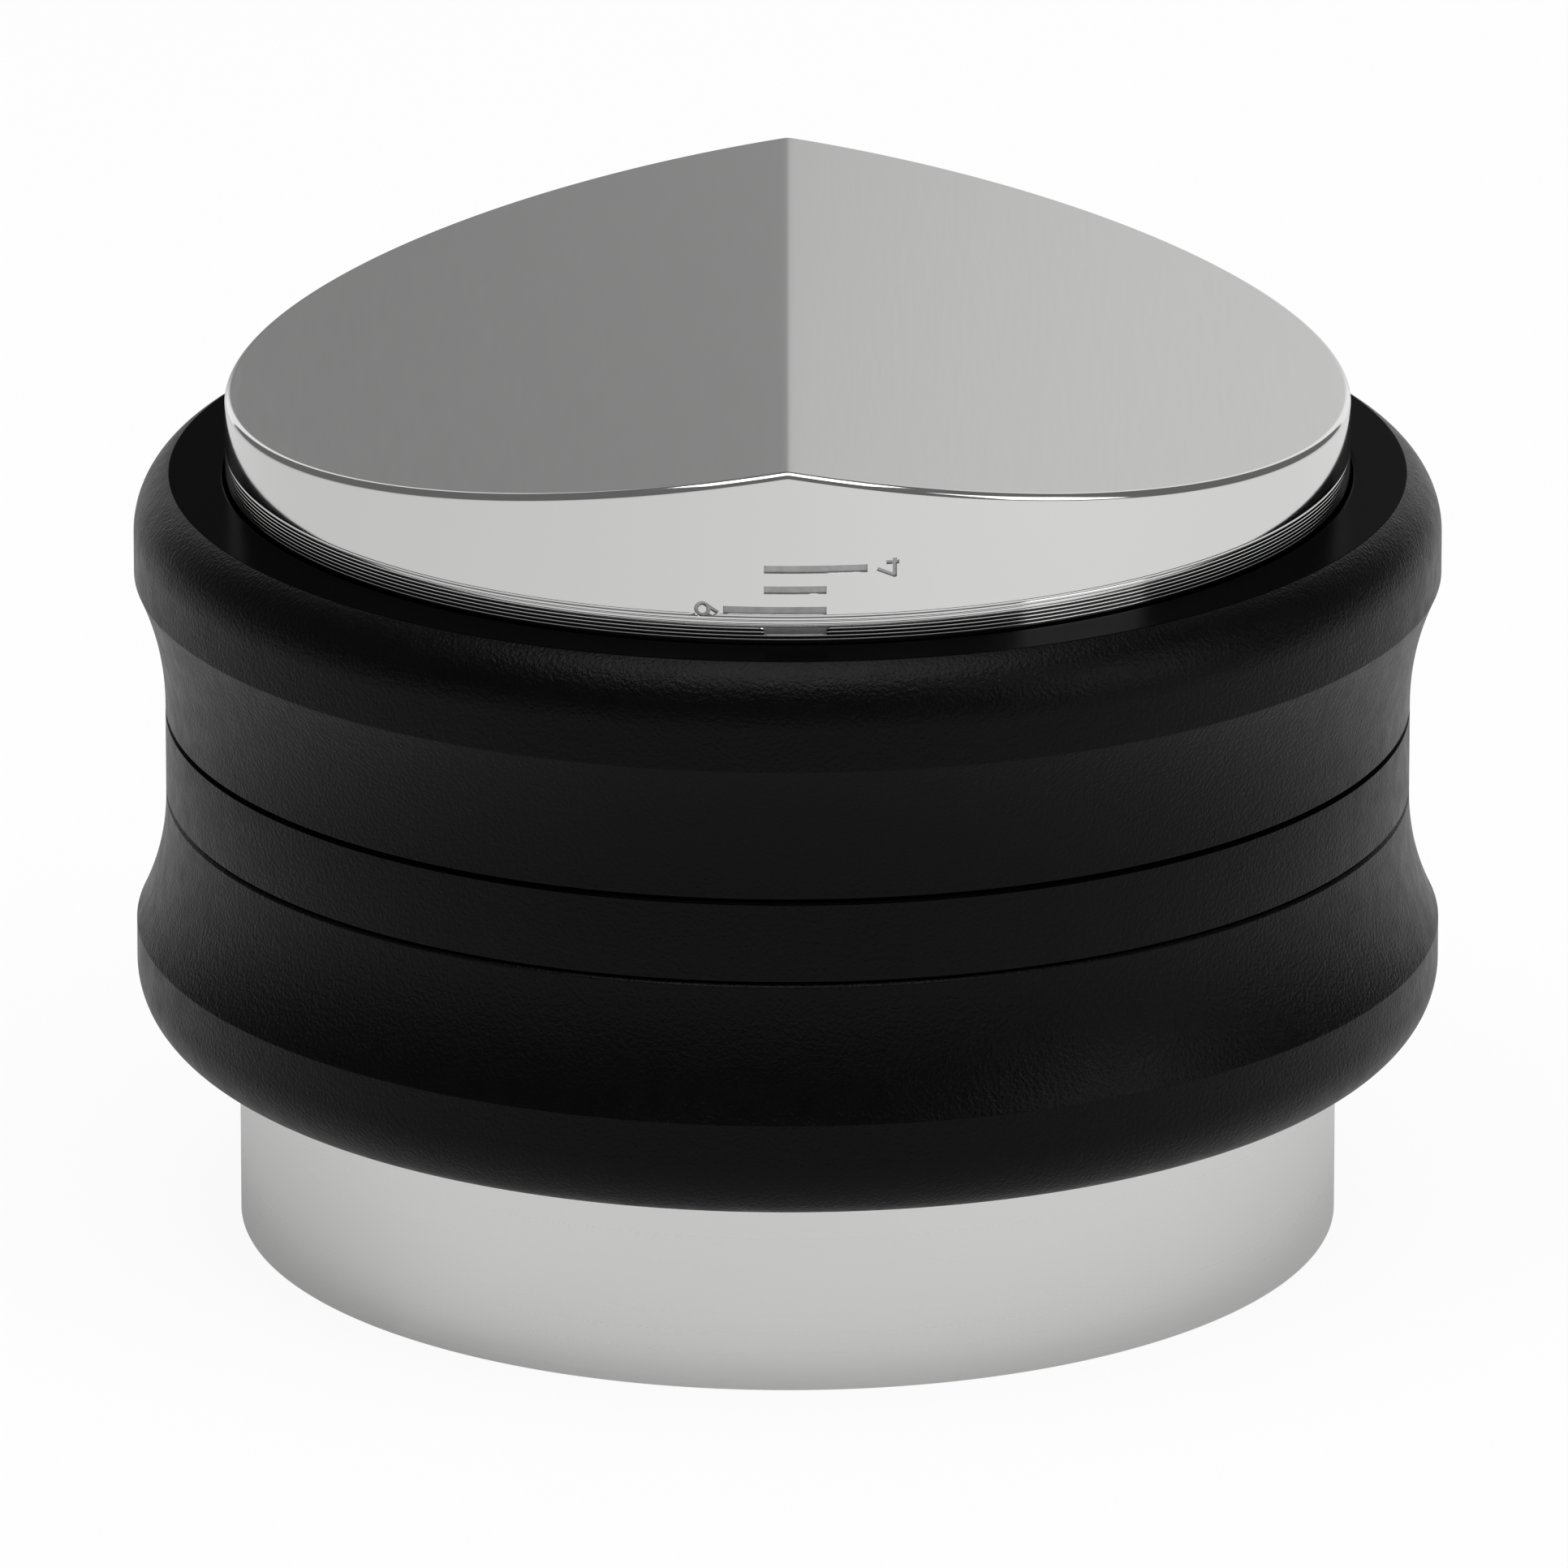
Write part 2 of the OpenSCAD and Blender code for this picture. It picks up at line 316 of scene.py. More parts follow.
def to_mesh(mesh_name, bm):
    bmesh.ops.recalc_face_normals(bm, faces=bm.faces)
    mesh = bpy.data.meshes.new(mesh_name)
    bm.to_mesh(mesh)
    bm.free()
    mesh.polygons.foreach_set("use_smooth", [True] * len(mesh.polygons))
    mesh.set_sharp_from_angle(angle=SHARP)
    return mesh


def shade(piece):
    """Lets wide faces set the shading, so that small roundings don't bend their reflections."""
    even = piece.modifiers.new("shading", "WEIGHTED_NORMAL")
    even.keep_sharp = True
    even.weight = 100


def place(name, mesh, body, slot, materials, *nodes):
    """Links a finished mesh, gives it its materials, and rides it on its body in place of its nodes."""
    piece = bpy.data.objects.new(name, mesh)
    bpy.context.scene.collection.objects.link(piece)
    for material in materials:
        mesh.materials.append(material)
    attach(piece, body)
    if nodes:
        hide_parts(*nodes)
    shade(piece)
    return piece


def lifted(outline, base, up):
    """An outline moved to height base, and turned over where up is -1."""
    moved = [(r, base + up * z, finish) for r, z, finish in outline]
    return moved if up > 0 else moved[::-1]


# ---------------------------------------------------------------- finishes


class Nodes:
    """A material's node tree with short calls for the nodes that the finishes share."""

    def __init__(self, name):
        self.material = bpy.data.materials.get(name) or bpy.data.materials.new(name)
        self.material.use_nodes = True
        self.tree = self.material.node_tree
        self.tree.nodes.clear()
        self.output = self.tree.nodes.new("ShaderNodeOutputMaterial")
        self.shader = self.tree.nodes.new("ShaderNodeBsdfPrincipled")
        self.join(self.shader.outputs["BSDF"], self.output.inputs["Surface"])
        self.place = self.tree.nodes.new("ShaderNodeTexCoord").outputs["Object"]

    def join(self, source, target):
        self.tree.links.new(source, target)

    def set(self, **values):
        """Plain values on the shader's own sockets."""
        for key, value in values.items():
            socket = self.shader.inputs[key.replace("_", " ").title().replace("Ior", "IOR")]
            socket.default_value = (*value, 1.0) if hasattr(value, "__len__") else value

    def stretched(self, scale):
        """Object coordinates stretched by a scale on each axis."""
        mapping = self.tree.nodes.new("ShaderNodeMapping")
        mapping.inputs["Scale"].default_value = scale
        self.join(self.place, mapping.inputs["Vector"])
        return mapping.outputs["Vector"]

    def noise(self, scale, detail=2.0, rough=0.5, vector=None):
        node = self.tree.nodes.new("ShaderNodeTexNoise")
        node.inputs["Scale"].default_value = scale
        node.inputs["Detail"].default_value = detail
        node.inputs["Roughness"].default_value = rough
        self.join(vector or self.place, node.inputs["Vector"])
        return node.outputs["Fac"]

    def around(self):
        """Coordinates (turn about Z, height, distance from the axis), for turned surfaces."""
        split = self.tree.nodes.new("ShaderNodeSeparateXYZ")
        self.join(self.place, split.inputs[0])
        radius = self.math("SQRT", self.math(
            "ADD",
            self.math("MULTIPLY", split.outputs["X"], split.outputs["X"]),
            self.math("MULTIPLY", split.outputs["Y"], split.outputs["Y"]),
        ))
        return split, radius

    def vector(self, source, scale):
        """A value times a scale as the X of a vector, for a pattern along that value only."""
        node = self.tree.nodes.new("ShaderNodeCombineXYZ")
        self.join(self.math("MULTIPLY", source, scale), node.inputs["X"])
        return node.outputs["Vector"]

    def math(self, kind, a, b=None):
        node = self.tree.nodes.new("ShaderNodeMath")
        node.operation = kind
        for socket, value in zip(node.inputs, (a, b)):
            if isinstance(value, bpy.types.NodeSocket):
                self.join(value, socket)
            elif value is not None:
                socket.default_value = value
        return node.outputs[0]

    def ramp(self, source, low, high, start, end):
        """Maps source from low..high to the range start..end."""
        node = self.tree.nodes.new("ShaderNodeMapRange")
        node.inputs["From Min"].default_value = low
        node.inputs["From Max"].default_value = high
        node.inputs["To Min"].default_value = start
        node.inputs["To Max"].default_value = end
        self.join(source, node.inputs["Value"])
        return node.outputs["Result"]

    def tint(self, source, dark, light):
        """A colour between dark and light, by source."""
        node = self.tree.nodes.new("ShaderNodeMix")
        node.data_type = "RGBA"
        node.inputs["A"].default_value = (*dark, 1.0)
        node.inputs["B"].default_value = (*light, 1.0)
        self.join(source, node.inputs["Factor"])
        self.join(node.outputs["Result"], self.shader.inputs["Base Color"])

    def roughness(self, source, low, high):
        self.join(self.ramp(source, 0.3, 0.7, low, high), self.shader.inputs["Roughness"])

    def bump(self, source, depth):
        """Relief of a real depth in metres."""
        node = self.tree.nodes.new("ShaderNodeBump")
        node.inputs["Strength"].default_value = 1.0
        node.inputs["Distance"].default_value = depth
        self.join(source, node.inputs["Height"])
        self.join(node.outputs["Normal"], self.shader.inputs["Normal"])


def scaled(value, factor):
    return tuple(min(1.0, c * factor) for c in value)


def black_blasted(finish):
    """Fine bead-blasted matte black anodising."""
    n = Nodes("black_blasted_anodising")
    n.set(metallic=0.0, specular_ior_level=0.1)
    grain = n.noise(5200, 2.0, 0.6)
    n.tint(n.noise(420, 3.0), scaled(finish.black, 0.8), scaled(finish.black, 1.25))
    n.roughness(n.noise(900, 3.0), finish.blasted_rough - 0.04, finish.blasted_rough + 0.05)
    n.bump(grain, 0.000045)
    return n.material


def black_machined(finish):
    """Anodised turned faces: smoother, with faint lines round the axis."""
    n = Nodes("black_machined_anodising")
    n.set(metallic=0.0, specular_ior_level=0.004)
    _, radius = n.around()
    lines = n.noise(1.0, 2.0, 0.6, n.vector(radius, 9000))
    n.tint(n.noise(500, 2.0), scaled(finish.black, 0.7), scaled(finish.black, 1.1))
    n.roughness(n.noise(700, 2.0), finish.blasted_rough - 0.14, finish.blasted_rough - 0.08)
    n.bump(lines, 0.000004)
    return n.material


def polished_steel(finish):
    """Mirror-polished side wall with the faintest turning lines."""
    n = Nodes("polished_steel")
    n.set(metallic=1.0)
    split, _ = n.around()
    n.tint(n.noise(40, 2.0), scaled(finish.steel, 0.985), scaled(finish.steel, 1.015))
    n.roughness(n.noise(60, 2.0), finish.polished_rough - 0.01, finish.polished_rough + 0.02)
    n.bump(n.noise(1.0, 2.0, 0.6, n.vector(split.outputs["Z"], 5000)), 0.0000004)
    return n.material


def lapped_steel(finish):
    """Flat lapped gable faces: even satin with a very fine grain."""
    n = Nodes("lapped_steel")
    n.set(metallic=1.0)
    n.tint(n.noise(25, 2.0), scaled(finish.steel, 0.985), scaled(finish.steel, 1.01))
    grain = n.noise(1.0, 2.0, 0.6, n.stretched((4000, 200, 4000)))
    n.roughness(grain, finish.satin_rough - 0.02, finish.satin_rough + 0.02)
    n.bump(n.noise(1.0, 3.0, 0.6, n.stretched((9000, 700, 9000))), 0.0000008)
    return n.material


def etched_steel(finish):
    """Floors of the engraved marks: grey and rough."""
    n = Nodes("etched_steel")
    n.set(metallic=1.0)
    n.tint(n.noise(3000, 3.0), scaled(finish.etched, 0.85), scaled(finish.etched, 1.15))
    n.roughness(n.noise(2500, 2.0), 0.32, 0.42)
    n.bump(n.noise(9000, 2.0), 0.000004)
    return n.material


def satin_steel(finish):
    """Turned satin steel: fine lines round the axis."""
    n = Nodes("satin_steel")
    n.set(metallic=1.0, anisotropic=0.3)
    split, _ = n.around()
    n.tint(n.noise(25, 2.0), scaled(finish.steel, 0.985), scaled(finish.steel, 1.01))
    lines = n.noise(1.0, 2.0, 0.6, n.vector(split.outputs["Z"], 3000))
    n.roughness(lines, finish.satin_rough, finish.satin_rough + 0.04)
    n.bump(n.noise(1.0, 3.0, 0.65, n.vector(split.outputs["Z"], 7000)), 0.000001)
    return n.material


def faced_steel(finish):
    """The tamping face: turned flat, with fine circles round the centre."""
    n = Nodes("faced_steel")
    n.set(metallic=1.0)
    _, radius = n.around()
    n.tint(n.noise(70, 3.0), scaled(finish.steel, 0.96), scaled(finish.steel, 1.03))
    n.roughness(n.noise(260, 3.0), finish.satin_rough, finish.satin_rough + 0.06)
    n.bump(n.noise(1.0, 3.0, 0.65, n.vector(radius, 4000)), 0.000002)
    return n.material


def turned_aluminium(finish):
    """Bare hub: turned aluminium."""
    n = Nodes("turned_aluminium")
    n.set(metallic=1.0)
    split, _ = n.around()
    n.tint(n.noise(120, 3.0), scaled(finish.aluminium, 0.93), scaled(finish.aluminium, 1.05))
    n.roughness(n.noise(300, 3.0), 0.26, 0.38)
    n.bump(n.noise(1.0, 3.0, 0.65, n.vector(split.outputs["Z"], 6000)), 0.000003)
    return n.material


def drag_rubber(finish):
    """Nitrile rubber of the drag rings, with a film of grease in places."""
    n = Nodes("drag_rubber")
    n.set(metallic=0.0)
    n.tint(n.noise(600, 3.0), scaled(finish.rubber, 0.8), scaled(finish.rubber, 1.3))
    n.roughness(n.noise(350, 2.0), 0.45, 0.7)
    n.bump(n.noise(4000, 2.0), 0.000008)
    return n.material


# ---------------------------------------------------------------- scale marks


def circle(u, v, radius, start=0, end=360, count=32):
    """Points of a circle or of an arc between two angles in degrees, in a numeral's plane."""
    turns = [math.radians(start + (end - start) * i / count) for i in range(count)]
    return [(u + radius * math.cos(t), v + radius * math.sin(t)) for t in turns]


def numeral(value, stroke):
    """Shapes of an upright numeral, each a list of closed loops of points with the outer one first."""
    if value == 4:
        corners = [
            (0.15, -0.52), (0.34, -0.52), (0.34, -0.41), (0.44, -0.41), (0.44, -0.22),
            (0.34, -0.22), (0.34, 0.08), (0.15, 0.08), (0.15, -0.22), (-0.27, -0.22),
            (0.03, 0.46), (-0.14, 0.54), (-0.50, -0.30), (-0.46, -0.41), (0.15, -0.41),
        ]
        return [[[(u * MM, v * MM) for u, v in corners]]]
    if value == 6:
        bowl = 0.38 * MM
        tail = [(0.21 * MM, 0.66 * MM), (0.07 * MM, 0.78 * MM)]
        return [[circle(0, 0, bowl, 155, 453) + tail, circle(0, 0, bowl - stroke)]]
    lower, upper = 0.30 * MM, 0.25 * MM
    return [
        [circle(0, -0.26 * MM, lower), circle(0, -0.26 * MM, lower - stroke)],
        [circle(0, 0.30 * MM, upper), circle(0, 0.30 * MM, upper - stroke)],
    ]


def cutter(mesh_name, shapes, radius, low, high):
    """Closed solids of flat shapes wrapped on a cylinder of radius, from depth low to height high.

    A shape is a list of closed loops of (u, v): u is the way round from -Y towards +X, v the height."""
    bm = bmesh.new()
    for loops in shapes:
        flat = bmesh.new()
        edges = []
        for loop in loops:
            verts = [flat.verts.new((u, v, 0)) for u, v in loop]
            edges += [flat.edges.new((verts[i - 1], verts[i])) for i in range(len(verts))]
        bmesh.ops.triangle_fill(flat, use_beauty=True, edges=edges)
        flat.verts.index_update()
        floor, lid = {}, {}
        for vert in flat.verts:
            turn = vert.co.x / radius
            for level, made in ((radius - low, floor), (radius + high, lid)):
                made[vert.index] = bm.verts.new((level * math.sin(turn), -level * math.cos(turn), vert.co.y))
        for face in flat.faces:
            corners = [v.index for v in face.verts]
            bm.faces.new([floor[c] for c in corners])
            bm.faces.new([lid[c] for c in reversed(corners)])
        for edge in flat.edges:
            if len(edge.link_faces) == 1:
                a, b = (v.index for v in edge.verts)
                bm.faces.new([floor[a], floor[b], lid[b], lid[a]])
        flat.free()
    return to_mesh(mesh_name, bm)


def turned(shapes, degrees, u, v):
    """Shapes turned in their plane and moved to (u, v)."""
    c, s = math.cos(math.radians(degrees)), math.sin(math.radians(degrees))
    made = []
    for loops in shapes:
        made.append([[(x * c - y * s + u, x * s + y * c + v) for x, y in loop] for loop in loops])
    return made


def scale_shapes(heads):
    """Bars and numerals of the depth scale. Every second bar is long and numbered, right and left in turn."""
    shapes = []
    start = -0.38 * heads.bar_w
    gap = 0.97 * MM
    for depth in range(heads.first, heads.last + 1):
        middle = RIDGE - heads.scale_zero - depth * MM
        right = heads.bar_more if depth % 4 == 0 else 0
        left = heads.bar_more if depth % 4 == 2 else 0
        low_u, high_u = start - left, start + heads.bar_w + right
        steps = 12
        below = [(low_u + (high_u - low_u) * i / steps, middle - heads.bar_h / 2) for i in range(steps + 1)]
        above = [(u, middle + heads.bar_h / 2) for u, _ in reversed(below)]
        shapes.append([below + above])
        if right:
            shapes += turned(numeral(depth, heads.stroke), 90, high_u + gap, middle)
        if left:
            shapes += turned(numeral(depth, heads.stroke), -90, low_u - gap, middle)
    return shapes


# ---------------------------------------------------------------- pieces


def register_radius(grips):
    """Outer radius of the register that centres both grips."""
    return max(GABLE_HIGH.x, TAMP_HIGH.x) + 2 * grips.fit + grips.register_w


def head_end(heads, radius, drag_low, drag_high, end, up):
    """Corners of a head over its inner end and drag groove, up to its outside thread's start."""
    middle = (drag_low.z + drag_high.z) / 2
    half = heads.drag_cord / 2 + 0.15 * MM
    floor = drag_high.x - heads.drag_cord - 0.02 * MM
    return [
        (radius, end, 0.2 * MM, SATIN),
        (radius, middle - up * half, 0.1 * MM, SATIN),
        (floor, middle - up * half, 0.1 * MM, SATIN),
        (floor, middle + up * half, 0.1 * MM, SATIN),
        (radius, middle + up * half, 0.1 * MM, SATIN),
    ]


class COFFEE_OT_centre_ring(bpy.types.Operator):
    """Makes the black ring between the two grips"""

    bl_idname = "coffee.centre_ring"
    bl_label = "Centre ring"

    def execute(self, context):
        grips, finish = context.scene.coffee_grips, context.scene.coffee_finishes
        waist, outer = RING_HIGH.x, register_radius(grips)
        inner, chamfer = outer - grips.register_w, grips.seam_break
        low, high = LOWER_SEAM, UPPER_SEAM
        web = HUB_HIGH.x
        web_low = (low + high - grips.web_t) / 2
        web_high = web_low + grips.web_t
        outline = soften([
            (web, web_low, 0, MACHINED),
            (inner, web_low, 0.2 * MM, MACHINED),
            (inner, low - grips.register_h, 0.1 * MM, MACHINED),
            (outer, low - grips.register_h, 0.1 * MM, MACHINED),
            (outer, low, 0, MACHINED),
            (waist - chamfer, low, 0.2 * chamfer, MACHINED),
            (waist, low + chamfer, 0.4 * chamfer, BLASTED),
            (waist, high - chamfer, 0.4 * chamfer, MACHINED),
            (waist - chamfer, high, 0.2 * chamfer, MACHINED),
            (outer, high, 0, MACHINED),
            (outer, high + grips.register_h, 0.1 * MM, MACHINED),
            (inner, high + grips.register_h, 0.1 * MM, MACHINED),
            (inner, web_high, 0.2 * MM, MACHINED),
            (web, web_high, 0, MACHINED),
        ])
        mesh = revolve("centre_ring", outline, round_angles(SEGMENTS))
        place("centre_ring_finished", mesh, "centre", "black_anodised",
              [black_blasted(finish), black_machined(finish)], "center_ring")
        return {"FINISHED"}


class COFFEE_OT_hub(bpy.types.Operator):
    """Finishes the threaded hub in turned aluminium"""

    bl_idname = "coffee.hub"
    bl_label = "Threaded hub"

    def execute(self, context):
        finish = turned_aluminium(context.scene.coffee_finishes)
        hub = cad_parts["threaded_hub"]
        for row in hub.material_slots:
            row.material = finish
        return {"FINISHED"}


class COFFEE_OT_grips(bpy.types.Operator):
    """Makes the two waisted grips that lock the heads"""

    bl_idname = "coffee.grips"
    bl_label = "Grips"

    def execute(self, context):
        grips, heads = context.scene.coffee_grips, context.scene.coffee_heads
        finish = context.scene.coffee_finishes
        materials = [black_blasted(finish), black_machined(finish)]
        rows = (
            ("distributor_grip", "upper_lock", UPPER_LIP - UPPER_SEAM, UPPER_SEAM, GABLE_HIGH.x, 1),
            ("tamper_grip", "lower_lock", LOWER_SEAM - LOWER_LIP, LOWER_SEAM, TAMP_HIGH.x, -1),
        )
        for node, body, height, seam, head_radius, up in rows:
            counterbore = register_radius(grips) + grips.register_fit
            outline = grip_outline(height, head_radius + grips.fit, counterbore, RING_HIGH.x, grips, heads)
            mesh = revolve(node, lifted(outline, seam, up), round_angles(SEGMENTS))
            place(node + "_finished", mesh, body, "black_anodised", materials, node)
        return {"FINISHED"}


class COFFEE_OT_distributor_head(bpy.types.Operator):
    """Makes the gable-faced distributor head with its thread and engraved depth scale"""

    bl_idname = "coffee.distributor_head"
    bl_label = "Distributor head"

    def execute(self, context):
        heads, finish = context.scene.coffee_heads, context.scene.coffee_finishes
        radius, end = GABLE_HIGH.x, GABLE_LOW.z
        ceiling = end + heads.bore_depth
        wall_start = UPPER_LIP + heads.thread_show
        thread_start = (UPPER_DRAG_LOW.z + UPPER_DRAG_HIGH.z) / 2 + heads.drag_cord
        outline = [(0, ceiling, 0, SATIN), (heads.bore, ceiling, 0, SATIN)]
        outline += thread(heads.bore, ceiling - heads.pitch, end + heads.pitch, 1, heads, SATIN)
        outline.append((heads.bore, end, 0.2 * MM, SATIN))
        outline += head_end(heads, radius, UPPER_DRAG_LOW, UPPER_DRAG_HIGH, end, 1)
        outline += thread(radius, thread_start, UPPER_LIP, -1, heads, POLISHED)
        outline += crest_lines(radius, UPPER_LIP + 0.1 * MM, wall_start, heads, POLISHED)
        outline.append((radius, wall_start + 0.1 * MM, 0, POLISHED))
        corners = soften(outline, 4)
        ridge_ends = (math.pi / 2, 3 * math.pi / 2)
        near_ridge = [side + way * turn for side in ridge_ends for way in (-1, 1) for turn in NEAR_RIDGE]
        angles = round_angles(SEGMENTS, near_ridge)
        mesh = self.gabled(corners, angles, radius, heads)
        materials = [polished_steel(finish), lapped_steel(finish), etched_steel(finish)]
        piece = place("distributor_head_finished", mesh, "upper_head", "polished_steel", materials,
                      "distributor_head")
        self.engrave(piece, radius, heads)
        return {"FINISHED"}

    def gabled(self, corners, angles, radius, heads):
        """The turned part, run up into a rounded rim and closed by the two gable planes."""
        slope = heads.gable_rise / radius
        soft = heads.ridge_round

        def plane(x):
            return RIDGE - slope * (math.sqrt(x * x + soft * soft) - soft)

        bm = bmesh.new()
        rings = [([bm.verts.new((0, 0, corners[0][1]))], corners[0][2])]
        for r, z, finish in corners[1:]:
            rings.append(([bm.verts.new((r * math.cos(a), r * math.sin(a), z)) for a in angles], finish))
        levels = [(radius, RIM_START * heads.rim_round)]
        for k in range(RIM_STEPS + 1):
            lift = math.pi / 2 * k / RIM_STEPS
            drop = heads.rim_round * (1 - math.sin(lift))
            levels.append((radius - heads.rim_round * (1 - math.cos(lift)), drop))
        for r, drop in levels:
            points = [(r * math.cos(a), r * math.sin(a)) for a in angles]
            rings.append(([bm.verts.new((x, y, plane(x) - drop)) for x, y in points], POLISHED))
        count = len(angles)
        for (ring, finish), (following, _) in zip(rings, rings[1:]):
            for k in range(count):
                n = (k + 1) % count
                near = [ring[k % len(ring)], ring[n % len(ring)]]
                face = bm.faces.new(list(dict.fromkeys(near + [following[n], following[k]])))
                face.material_index = finish
        rim = rings[-1][0]
        for k in range(count // 2):
            face = bm.faces.new(list(dict.fromkeys([rim[k], rim[k + 1], rim[-k - 1], rim[-k]])))
            face.material_index = SATIN
        return to_mesh("distributor_head", bm)

    def engrave(self, piece, radius, heads):
        """Cuts the scale's bars and numerals in the side wall, and applies the cut."""
        mesh = cutter("scale_cutter", scale_shapes(heads), radius, heads.engrave, CUTTER_OUT)
        mesh.materials.append(piece.data.materials[ETCHED])
        tool = bpy.data.objects.new("scale_cutter", mesh)
        bpy.context.scene.collection.objects.link(tool)
        cut = piece.modifiers.new("scale", "BOOLEAN")
        cut.operation = "DIFFERENCE"
        cut.solver = "EXACT"
        cut.material_mode = "TRANSFER"
        cut.object = tool
        bpy.context.view_layer.update()
        shaped = bpy.data.meshes.new_from_object(piece.evaluated_get(bpy.context.evaluated_depsgraph_get()))
        piece.modifiers.clear()
        piece.data = shaped
        shaped.set_sharp_from_angle(angle=SHARP)
        self.true_wall(shaped, radius, radius - heads.engrave)
        bpy.data.objects.remove(tool)

    def true_wall(self, mesh, *radii):
        """Gives the faces on each radius a true cylinder's normals, so that reflections run clean."""
        normals = [corner.vector.copy() for corner in mesh.corner_normals]
        for face in mesh.polygons:
            corners = [mesh.vertices[v].co for v in face.vertices]
            near = [r for r in radii if all(abs(co.xy.length - r) < 0.002 * MM for co in corners)]
            if near and abs(face.normal.z) < 0.01:
                for loop, co in zip(face.loop_indices, corners):
                    normals[loop] = Vector((co.x, co.y, 0)).normalized()
        mesh.normals_split_custom_set(normals)


class COFFEE_OT_tamper_head(bpy.types.Operator):
    """Makes the flat tamping head"""

    bl_idname = "coffee.tamper_head"
    bl_label = "Tamping head"

    def execute(self, context):
        heads, finish = context.scene.coffee_heads, context.scene.coffee_finishes
        radius, end = TAMP_HIGH.x, TAMP_HIGH.z
        ceiling = end - heads.bore_depth
        wall_end = LOWER_LIP + 0.01 * MM
        relief_top = wall_end + heads.relief_h
        thread_end = (LOWER_DRAG_LOW.z + LOWER_DRAG_HIGH.z) / 2 - heads.drag_cord
        outline = [(0, 0, 0, FACED)]
        outline.append((radius, 0, heads.face_round, TURNED))
        outline += [
            (radius, wall_end, 0.05 * MM, TURNED),
            (radius - heads.relief_d, wall_end, 0, TURNED),
            (radius - heads.relief_d, relief_top, 0, TURNED),
        ]
        outline += thread(radius, relief_top, thread_end, -1, heads, TURNED)
        outline += head_end(heads, radius, LOWER_DRAG_LOW, LOWER_DRAG_HIGH, end, -1)[::-1]
        outline.append((heads.bore, end, 0.2 * MM, FACED))
        outline += thread(heads.bore, end - heads.pitch, ceiling + heads.pitch, 1, heads, FACED)
        outline += [(heads.bore, ceiling, 0, FACED), (0, ceiling, 0, FACED)]
        mesh = revolve("tamper_head", soften(outline), round_angles(SEGMENTS))
        place("tamper_head_finished", mesh, "lower_head", "satin_steel",
              [satin_steel(finish), faced_steel(finish)], "tamper_head")
        return {"FINISHED"}


class COFFEE_OT_drag_rings(bpy.types.Operator):
    """Makes the rubber rings that rub in the grips' bores"""

    bl_idname = "coffee.drag_rings"
    bl_label = "Drag rings"

    def execute(self, context):
        heads, finish = context.scene.coffee_heads, context.scene.coffee_finishes
        rows = (
            ("distributor_drag_ring", "upper_slide", UPPER_DRAG_LOW, UPPER_DRAG_HIGH),
            ("tamper_drag_ring", "lower_slide", LOWER_DRAG_LOW, LOWER_DRAG_HIGH),
        )
        for node, body, low, high in rows:
            half = heads.drag_cord / 2
            middle_r, middle_z = high.x - half, (low.z + high.z) / 2
            outline = []
            for k in range(DRAG_STEPS):
                angle = 2 * math.pi * k / DRAG_STEPS
                cord = half if k % (DRAG_STEPS // 4) == 0 else half - DRAG_FLASH
                outline.append((middle_r + cord * math.cos(angle), middle_z + cord * math.sin(angle), 0))
            mesh = revolve(node, outline, round_angles(SEGMENTS // 2))
            place(node + "_finished", mesh, body, "rubber", [drag_rubber(finish)], node)
        return {"FINISHED"}


# ---------------------------------------------------------------- stage


def white_to(tree, surface, share_of_white, brightness):
    """Adds plain emission to a surface, and gives the mix and the emission's node."""
    glow = tree.nodes.new("ShaderNodeEmission")
    glow.inputs["Strength"].default_value = brightness
    mix = tree.nodes.new("ShaderNodeMixShader")
    mix.inputs["Fac"].default_value = share_of_white
    tree.links.new(surface, mix.inputs[1])
    tree.links.new(glow.outputs[0], mix.inputs[2])
    return mix.outputs[0], glow


def across(tree, stops, reach):
    """A grey that changes along X, from -reach to reach, through evenly spaced stops."""
    place = tree.nodes.new("ShaderNodeTexCoord")
    split = tree.nodes.new("ShaderNodeSeparateXYZ")
    span = tree.nodes.new("ShaderNodeMapRange")
    span.inputs["From Min"].default_value = -reach
    span.inputs["From Max"].default_value = reach
    ramp = tree.nodes.new("ShaderNodeValToRGB")
    ramp.color_ramp.interpolation = "B_SPLINE"
    while len(ramp.color_ramp.elements) < len(stops):
        ramp.color_ramp.elements.new(0.5)
    for i, (element, level) in enumerate(zip(ramp.color_ramp.elements, stops)):
        element.position = i / (len(stops) - 1)
        element.color = (level, level, level, 1.0)
    tree.links.new(place.outputs["Object"], split.inputs[0])
    tree.links.new(split.outputs["X"], span.inputs["Value"])
    tree.links.new(span.outputs["Result"], ramp.inputs["Fac"])
    return ramp.outputs["Color"]


